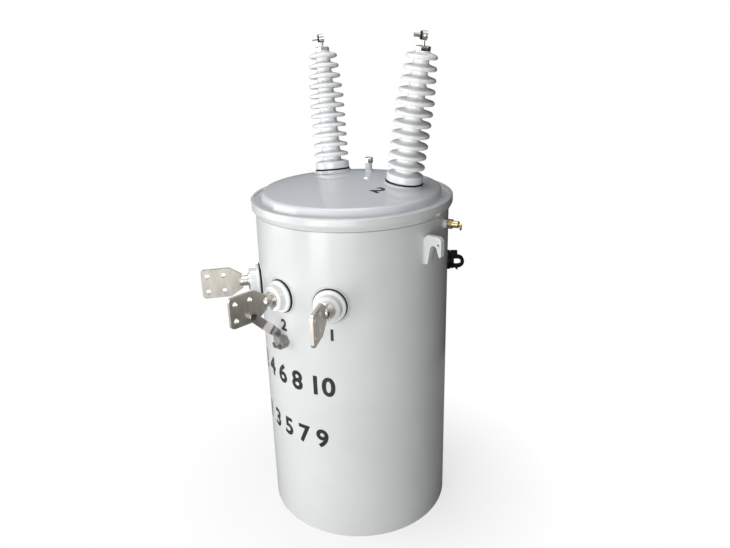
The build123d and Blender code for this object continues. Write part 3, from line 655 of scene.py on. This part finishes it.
dark_steel = new_finish("bare_steel", (0.29, 0.29, 0.285), 1.0, 0.42)
tint(dark_steel, clouds(dark_steel, 0.006, 4.0), (0.23, 0.23, 0.225), (0.35, 0.35, 0.345))
polish(dark_steel, clouds(dark_steel, 0.003, 3.0), 0.34, 0.52)
dull_tin = new_finish("dull_tin", (0.46, 0.445, 0.42), 1.0, 0.36)
tint(dull_tin, clouds(dull_tin, 0.01, 4.0), (0.41, 0.395, 0.37), (0.5, 0.485, 0.46))
polish(dull_tin, clouds(dull_tin, 0.003, 3.0), 0.3, 0.44)
relief(dull_tin, clouds(dull_tin, 0.0015, 3.0), 0.00004)
dressed("ground_boss", "ground_hexagon", dark_steel, edge=0.0012)
strap = bmesh.new()
bmesh.ops.create_cube(strap, size=1.0)
bmesh.ops.scale(strap, vec=(strap_long, strap_w, strap_t), verts=strap.verts[:])
long_edges = [e for e in strap.edges if abs(e.verts[0].co.x - e.verts[1].co.x) > strap_w]
bmesh.ops.subdivide_edges(strap, edges=long_edges, cuts=strap_cuts, use_grid_fill=True)
path = strap_path()
for v in strap.verts:
    s = v.co.x + strap_long / 2 - strap_w / 2
    past = max(-s, s - (strap_long - strap_w), 0.0)
    across = v.co.y * sqrt(max(strap_tip_share, 1 - (2 * past / strap_w) ** 2))
    at, way, wide = path[round((v.co.x / strap_long + 0.5) * (strap_cuts + 1))]
    v.co = at + wide * across + way.cross(wide) * v.co.z
bmesh.ops.recalc_face_normals(strap, faces=strap.faces[:])
rounded(strap, [e for e in strap.edges if e.calc_face_angle(0.0) > radians(50)], strap_round, 2)
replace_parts(piece("ground_link", strap, dull_tin), "ground_strap")
dressed("strap_bolt_upper", "link_bolt_upper", zinc, edge=0.0008)
dressed("strap_bolt_lower", "link_bolt_lower", zinc, edge=0.0008)

# Lifting lugs. Hooks flame-cut from thick plate with rounded edges, welded upright on both sides of the drum
# and sprayed with it.
lug_half = 0.006
lug_bead = 0.0024
lug_bead_out = 0.0006
lug_low = 0.800
lug_dots = 35
bead_step = 0.002
for side, name in ((1, "right"), (-1, "left")):
    dressed(f"lifting_lug_{name}", f"hook_lug_{name}", enamel, edge=0.0008)
    for face, end in ((-1, "front"), (1, "back")):
        y = face * lug_half
        x = side * sqrt(tank_r ** 2 - y ** 2)
        run = upright_points(x, y + face * lug_bead_out, lug_low, bead_step, lug_dots)
        weld(f"hook_weld_{name}_{end}", run, lug_bead, closed=False)

# Pole support lugs. Bent channels welded behind the drum, one above the other, with a slot open below that
# drops over the pole's bolt.
channel_half = 0.052
channel_bead = 0.0028
channel_bead_out = 0.0005
channel_drop = 0.054
channel_dots = 55
for name, middle in (("upper", 0.795), ("lower", 0.204)):
    dressed(f"support_lug_{name}", f"pole_channel_{name}", enamel, edge=0.0014)
    for side, end in ((-1, "left"), (1, "right")):
        x = side * channel_half
        y = sqrt(tank_r ** 2 - x ** 2)
        run = upright_points(x + side * channel_bead_out, y, middle - channel_drop, bead_step, channel_dots)
        weld(f"channel_weld_{name}_{end}", run, channel_bead, closed=False)

# Pressure relief valve. A brass valve screwed into a small welded boss, with a hexagon to turn it by and
# a pull ring on its pin.
valve_az = 111.0
valve_z = 0.880
valve_boss_r = 0.011
valve_boss_in = 0.255
valve_boss_out = 0.274
valve_boss_round = 0.001
valve_bead_r = 0.0115
valve_bead = 0.002
brass = new_finish("valve_brass", (0.56, 0.44, 0.23), 1.0, 0.28)
tint(brass, clouds(brass, 0.006, 4.0), (0.48, 0.37, 0.18), (0.63, 0.51, 0.29))
polish(brass, clouds(brass, 0.003, 3.0), 0.2, 0.36)
relief(brass, clouds(brass, 0.0009, 2.0), 0.00002)
boss = tube(0.0, valve_boss_r, valve_boss_in, valve_boss_out, 48,
            [(valve_boss_r, valve_boss_out, valve_boss_round)])
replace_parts(piece("valve_boss", boss, enamel, place=on_wall(valve_az, valve_z)), "relief_boss")
weld("valve_boss_weld", round_weld(valve_az, valve_z, valve_bead_r, 48), valve_bead, closed=True)
dressed("relief_valve", "brass_valve", brass, edge=0.0006)

# Tap changer. A moulded black base bolted through the wall and a loop handle that turns on it, with a pointer
# below and a tab above that takes a seal.
tap_az = 131.0
tap_z = 0.749
tap_bore_r = 0.00606
tap_r = 0.027
tap_in = 0.250
tap_out = 0.273
tap_round = 0.002
moulding = new_finish("black_moulding", (0.003, 0.003, 0.003), 0.0, 0.45)
moulding.node_tree.nodes["Principled BSDF"].inputs["Specular IOR Level"].default_value = 0.08
tint(moulding, clouds(moulding, 0.01), (0.002, 0.002, 0.002), (0.005, 0.005, 0.005))
polish(moulding, clouds(moulding, 0.004), 0.34, 0.5)
relief(moulding, clouds(moulding, 0.0012), 0.00004)
base = tube(tap_bore_r, tap_r, tap_in, tap_out, 64, [(tap_r, tap_out, tap_round)])
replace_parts(piece("tap_seat", base, moulding, place=on_wall(tap_az, tap_z)), "tap_base")
dressed("tap_handle", "tap_loop", moulding, edge=0.0012, body="tap")

# Painted numbers. Plain counting numbers stencilled in black on the front of the drum, by the low voltage
# bushings and on the cover, where such a unit carries its marks.
paint_thick = 0.00012
strip_w = 0.004
row_h = 0.053
row_weight = 0.045
lv_number_h = 0.030
lv_number_z = 0.637
hv_number_h = 0.038
hv_number_at = (0.140, -0.038, 0.0)
terminal_weight = 0.06
stencil = new_finish("stencil_black", (0.015, 0.015, 0.016), 0.0, 0.35)
tint(stencil, clouds(stencil, 0.02), (0.012, 0.012, 0.013), (0.022, 0.022, 0.023))


def numbers(name, text, height, weight):
    """Bold numerals lying flat round the origin, cut into narrow strips so that they can bend."""
    line = bpy.data.curves.new(name, "FONT")
    line.body = text
    line.size = height / 0.7
    line.align_x = "CENTER"
    line.extrude = paint_thick / 2
    line.offset = height * weight
    line.resolution_u = 6
    bm = meshed(name, line)
    left = min(v.co.x for v in bm.verts)
    right = max(v.co.x for v in bm.verts)
    low = min(v.co.y for v in bm.verts)
    high = max(v.co.y for v in bm.verts)
    bmesh.ops.translate(bm, vec=(-(left + right) / 2, -(low + high) / 2, 0.0), verts=bm.verts[:])
    strips = int((right - left) / strip_w)
    for i in range(1, strips):
        at = -(right - left) / 2 + (right - left) * i / strips
        bmesh.ops.bisect_plane(bm, geom=bm.verts[:] + bm.edges[:] + bm.faces[:], dist=1e-7,
                               plane_co=(at, 0, 0), plane_no=(1, 0, 0))
    return bm


def on_drum(name, text, height, weight, azimuth, middle):
    """Numerals bent round the drum at that azimuth and height."""
    bm = numbers(name, text, height, weight)
    for v in bm.verts:
        around = radians(azimuth) + v.co.x / tank_r
        out = tank_r + paint_thick + v.co.z
        v.co = (out * sin(around), -out * cos(around), middle + v.co.y)
    piece(name, bm, stencil)


on_drum("number_row_upper", "2 4 6 8 10", row_h, row_weight, 0.0, 0.4845)
on_drum("number_row_lower", "1 3 5 7 9", row_h, row_weight, 0.0, 0.320)
for number, azimuth in ((1, 33.0), (2, 0.5), (3, -32.0)):
    on_drum(f"number_lv_{number}", str(number), lv_number_h, terminal_weight, azimuth, lv_number_z)
for number, turn in ((1, 132.0), (2, 0.0)):
    bm = numbers(f"number_hv_{number}", str(number), hv_number_h, terminal_weight)
    place = Matrix.Rotation(radians(turn), 4, "Z") @ Matrix.Translation(hv_number_at)
    bmesh.ops.transform(bm, matrix=place, verts=bm.verts[:])
    for v in bm.verts:
        v.co.z += dome_z(hypot(v.co.x, v.co.y)) + paint_thick
    piece(f"number_hv_{number}", bm, stencil)

# Studio floor. A pale disc that keeps the soft shadow near the part and fades to white further out.
# Mirrors and bounced light see it darker, as a workshop floor would be.
floor_r = 12.0
fade_start = 0.2
fade_end = 0.62
fade_least = 0.62
floor_dim = 0.35
floor_pale = 0.85
floor_mesh = bmesh.new()
bmesh.ops.create_circle(floor_mesh, cap_ends=True, radius=floor_r, segments=96)
floor_data = bpy.data.meshes.new("studio_floor")
floor_mesh.to_mesh(floor_data)
floor_mesh.free()
floor = bpy.data.objects.new("studio_floor", floor_data)
bpy.context.scene.collection.objects.link(floor)
floor_finish = bpy.data.materials.new("floor_white")
floor_finish.use_nodes = True
floor_nodes = floor_finish.node_tree.nodes
floor_links = floor_finish.node_tree.links
floor_shader = floor_nodes["Principled BSDF"]
floor_shader.inputs["Roughness"].default_value = 0.9
floor_shader.inputs["Specular IOR Level"].default_value = 0.0
floor_glow = floor_nodes.new("ShaderNodeEmission")
floor_where = floor_nodes.new("ShaderNodeTexCoord")
floor_far = floor_nodes.new("ShaderNodeVectorMath")
floor_far.operation = "LENGTH"
floor_fade = floor_nodes.new("ShaderNodeMapRange")
floor_fade.inputs["From Min"].default_value = fade_start
floor_fade.inputs["From Max"].default_value = fade_end
floor_fade.inputs["To Min"].default_value = fade_least
floor_path = floor_nodes.new("ShaderNodeLightPath")
floor_tone = floor_nodes.new("ShaderNodeMapRange")
floor_tone.inputs["To Min"].default_value = floor_dim
floor_tone.inputs["To Max"].default_value = floor_pale
floor_seen = floor_nodes.new("ShaderNodeMath")
floor_seen.operation = "MULTIPLY"
floor_mix = floor_nodes.new("ShaderNodeMixShader")
floor_links.new(floor_where.outputs["Object"], floor_far.inputs[0])
floor_links.new(floor_far.outputs["Value"], floor_fade.inputs["Value"])
floor_links.new(floor_path.outputs["Is Camera Ray"], floor_tone.inputs["Value"])
floor_links.new(floor_tone.outputs["Result"], floor_shader.inputs["Base Color"])
floor_links.new(floor_fade.outputs["Result"], floor_seen.inputs[0])
floor_links.new(floor_path.outputs["Is Camera Ray"], floor_seen.inputs[1])
floor_links.new(floor_seen.outputs["Value"], floor_mix.inputs["Fac"])
floor_links.new(floor_shader.outputs["BSDF"], floor_mix.inputs[1])
floor_links.new(floor_glow.outputs["Emission"], floor_mix.inputs[2])
floor_links.new(floor_mix.outputs["Shader"], floor_nodes["Material Output"].inputs["Surface"])
floor_data.materials.append(floor_finish)

# Studio cards. Curved dim cards that only mirrors see: a low and a tall warm one on the right and behind, for
# the enamel's dark side, and a cool one behind on the left for the cover and its far rim.
card_steps = 48


def card(name, radius, low, high, start, turn, colour, glow):
    """A card round the part between two heights, from azimuth start on through turn degrees."""
    bm = bmesh.new()
    edge = [bm.verts.new((radius, 0.0, low)), bm.verts.new((radius, 0.0, high))]
    line = bm.edges.new(edge)
    bmesh.ops.rotate(bm, cent=(0, 0, 0), matrix=Matrix.Rotation(radians(start - 90), 3, "Z"), verts=edge)
    bmesh.ops.spin(bm, geom=edge + [line], cent=(0, 0, 0), axis=(0, 0, 1), angle=radians(turn),
                   steps=card_steps)
    mesh = bpy.data.meshes.new(name)
    bm.to_mesh(mesh)
    bm.free()
    made = bpy.data.objects.new(name, mesh)
    bpy.context.scene.collection.objects.link(made)
    made.visible_camera = False
    made.visible_shadow = False
    made.visible_diffuse = False
    finish = bpy.data.materials.new(name)
    finish.use_nodes = True
    shader = finish.node_tree.nodes["Principled BSDF"]
    shader.inputs["Base Color"].default_value = (0, 0, 0, 1)
    shader.inputs["Specular IOR Level"].default_value = 0.0
    shader.inputs["Emission Color"].default_value = (*colour, 1)
    shader.inputs["Emission Strength"].default_value = glow
    mesh.materials.append(finish)


card("low_card", 1.0, 0.02, 1.22, 68, 137, (1.0, 0.93, 0.83), 0.05)
card("tall_card", 1.0, 1.22, 1.7, 100, 105, (1.0, 0.82, 0.62), 0.07)
card("sky_card", 1.3, 0.75, 2.4, 205, 95, (0.88, 0.94, 1.0), 0.3)

# Studio light. A white background that the camera and mirrors see, a little light from all round, and five
# square lamps: two large ones in front, a low one between them, one behind on the left and one overhead.
world = bpy.data.worlds.new("studio_white")
bpy.context.scene.world = world
world.use_nodes = True
world_nodes = world.node_tree.nodes
world_links = world.node_tree.links
soft_light = world_nodes["Background"]
soft_light.inputs["Color"].default_value = (1, 1, 1, 1)
soft_light.inputs["Strength"].default_value = 0.1
white = world_nodes.new("ShaderNodeBackground")
white.inputs["Color"].default_value = (1, 1, 1, 1)
light_path = world_nodes.new("ShaderNodeLightPath")
seen = world_nodes.new("ShaderNodeMath")
seen.operation = "MAXIMUM"
seen_too = world_nodes.new("ShaderNodeMath")
seen_too.operation = "MAXIMUM"
choice = world_nodes.new("ShaderNodeMixShader")
world_links.new(light_path.outputs["Is Camera Ray"], seen.inputs[0])
world_links.new(light_path.outputs["Is Glossy Ray"], seen.inputs[1])
world_links.new(seen.outputs["Value"], seen_too.inputs[0])
world_links.new(light_path.outputs["Is Transmission Ray"], seen_too.inputs[1])
world_links.new(seen_too.outputs["Value"], choice.inputs["Fac"])
world_links.new(soft_light.outputs["Background"], choice.inputs[1])
world_links.new(white.outputs["Background"], choice.inputs[2])
world_links.new(choice.outputs["Shader"], world_nodes["World Output"].inputs["Surface"])


def lamp(name, azimuth, elevation, distance, size, power):
    """A square soft light aimed at the middle of the part."""
    light = bpy.data.lights.new(name, "AREA")
    light.size = size
    light.energy = power
    made = bpy.data.objects.new(name, light)
    bpy.context.scene.collection.objects.link(made)
    around = radians(azimuth)
    up = radians(elevation)
    offset = Vector((sin(around) * cos(up), -cos(around) * cos(up), sin(up))) * distance
    made.location = Vector((0.0, 0.0, 0.6)) + offset
    made.rotation_euler = offset.to_track_quat("Z", "Y").to_euler()


lamp("key_light", 30, 4, 3.4, 2.3, 96)
lamp("side_light", -42, 5, 3.4, 2.3, 74)
lamp("low_light", 8, -3, 2.6, 0.9, 13)
lamp("back_light", 238, 0, 3.4, 1.2, 44)
lamp("top_light", 0, 85, 3.0, 2.0, 47)
bpy.context.scene.view_settings.view_transform = "Standard"

# Camera. It stands a little above the cover and looks down at the drum from its right.
# Its lens and shift are those that fit the rims, the foot and the fittings in a frame of 730 by 548.
frame_w = 730
frame_h = 548
focal = 653.997
centre = (341.36, 276.09)
sensor_w = 36.0
eye = Vector((1.26613, -1.22398, 1.35974))
right = Vector((0.689584, 0.723351, -0.035165))
down = Vector((0.231322, -0.266018, -0.935802))
camera_data = bpy.data.cameras.new("photo_camera")
camera_data.sensor_width = sensor_w
camera_data.lens = focal / frame_w * sensor_w
camera_data.shift_x = (frame_w / 2 - centre[0]) / frame_w
camera_data.shift_y = (centre[1] - frame_h / 2) / frame_w
camera = bpy.data.objects.new("photo_camera", camera_data)
bpy.context.scene.collection.objects.link(camera)
turned_to = Matrix((right, -down, right.cross(-down))).transposed().to_4x4()
turned_to.translation = eye
camera.matrix_world = turned_to
bpy.context.scene.camera = camera
